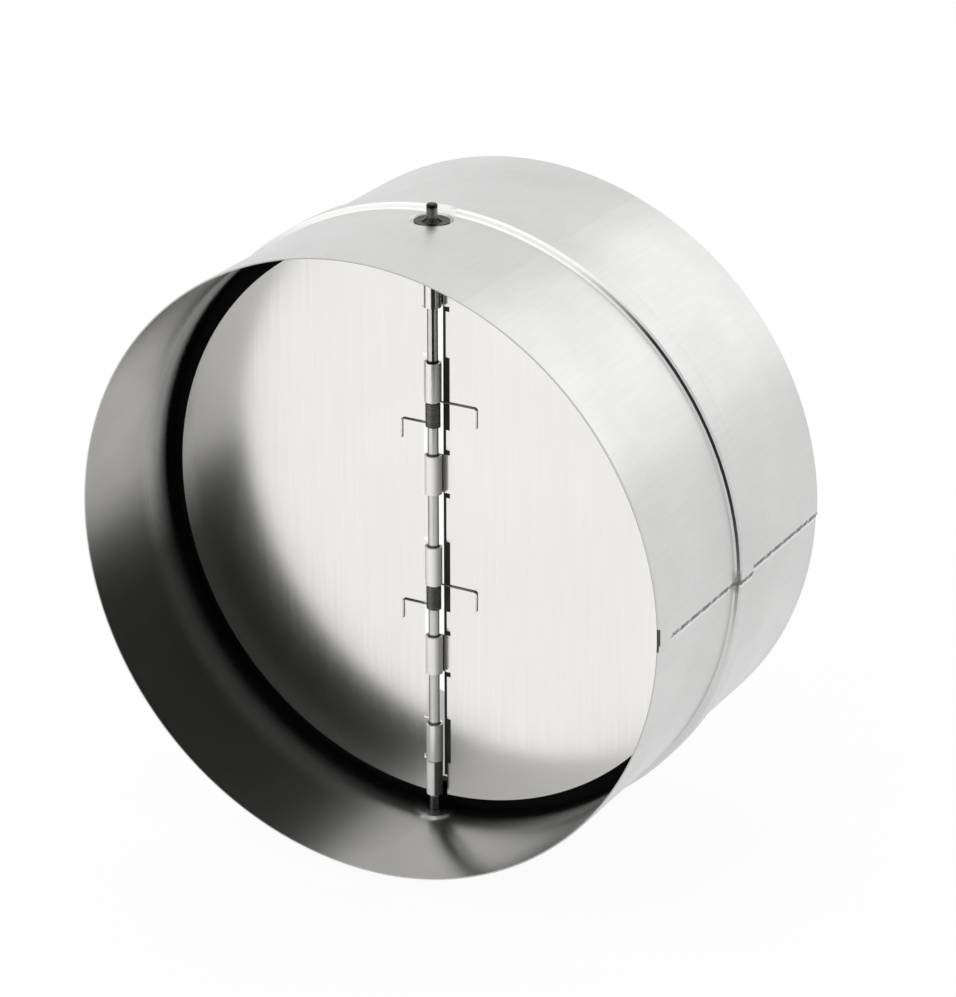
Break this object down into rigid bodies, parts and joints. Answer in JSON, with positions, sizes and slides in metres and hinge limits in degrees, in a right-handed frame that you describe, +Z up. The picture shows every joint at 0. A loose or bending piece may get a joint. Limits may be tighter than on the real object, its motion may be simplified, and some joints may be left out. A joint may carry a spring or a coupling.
{
  "type": "duct backdraft damper",
  "caption": "Round sheet-metal duct backdraft damper: sprung half-moon flaps on a hinge rod across the duct close against a rubber seal ring.",
  "frame": {"origin": "middle of the front rim, on the duct axis", "axes": "+Y along the duct from the front rim to the rear rim, +Z up along the hinge rod, +X to the right seen from the front"},
  "size_m": [0.2028, 0.11, 0.2084],
  "materials": {
    "galvanised": "bright galvanised sheet",
    "flap_aluminium": "bright mill finish",
    "rod_steel": "bright drawn",
    "sleeve_metal": "bright drawn",
    "spring_steel": "dark oiled",
    "rubber": "matt"
  },
  "bodies": {
    "casing_body": {"casing": "galvanised", "seal_ring": "rubber", "hinge_rod": "rod_steel", "upper_push_nut": "spring_steel", "lower_push_nut": "spring_steel", "upper_stop_sleeve": "sleeve_metal", "lower_stop_sleeve": "sleeve_metal", "upper_spring": "spring_steel", "lower_spring": "spring_steel"},
    "left_flap_body": {"left_flap": "flap_aluminium"},
    "right_flap_body": {"right_flap": "flap_aluminium", "right_edge_gasket": "rubber"}
  },
  "joints": [
    {"name": "right_flap_swing", "type": "hinge", "parent": "casing_body", "child": "right_flap_body", "pos_m": [0, 0.0445, 0], "axis": [0, 0, -1], "range_deg": [0, 85], "stiffness_Nm_per_rad": 0.006, "springref_deg": -85.94, "deforming": ["upper_spring", "lower_spring"]},
    {"name": "left_flap_swing", "type": "hinge", "parent": "casing_body", "child": "left_flap_body", "pos_m": [0, 0.0445, 0], "axis": [0, 0, 1], "range_deg": [0, 85], "stiffness_Nm_per_rad": 0.006, "springref_deg": -85.94, "deforming": ["upper_spring", "lower_spring"]}
  ]
}
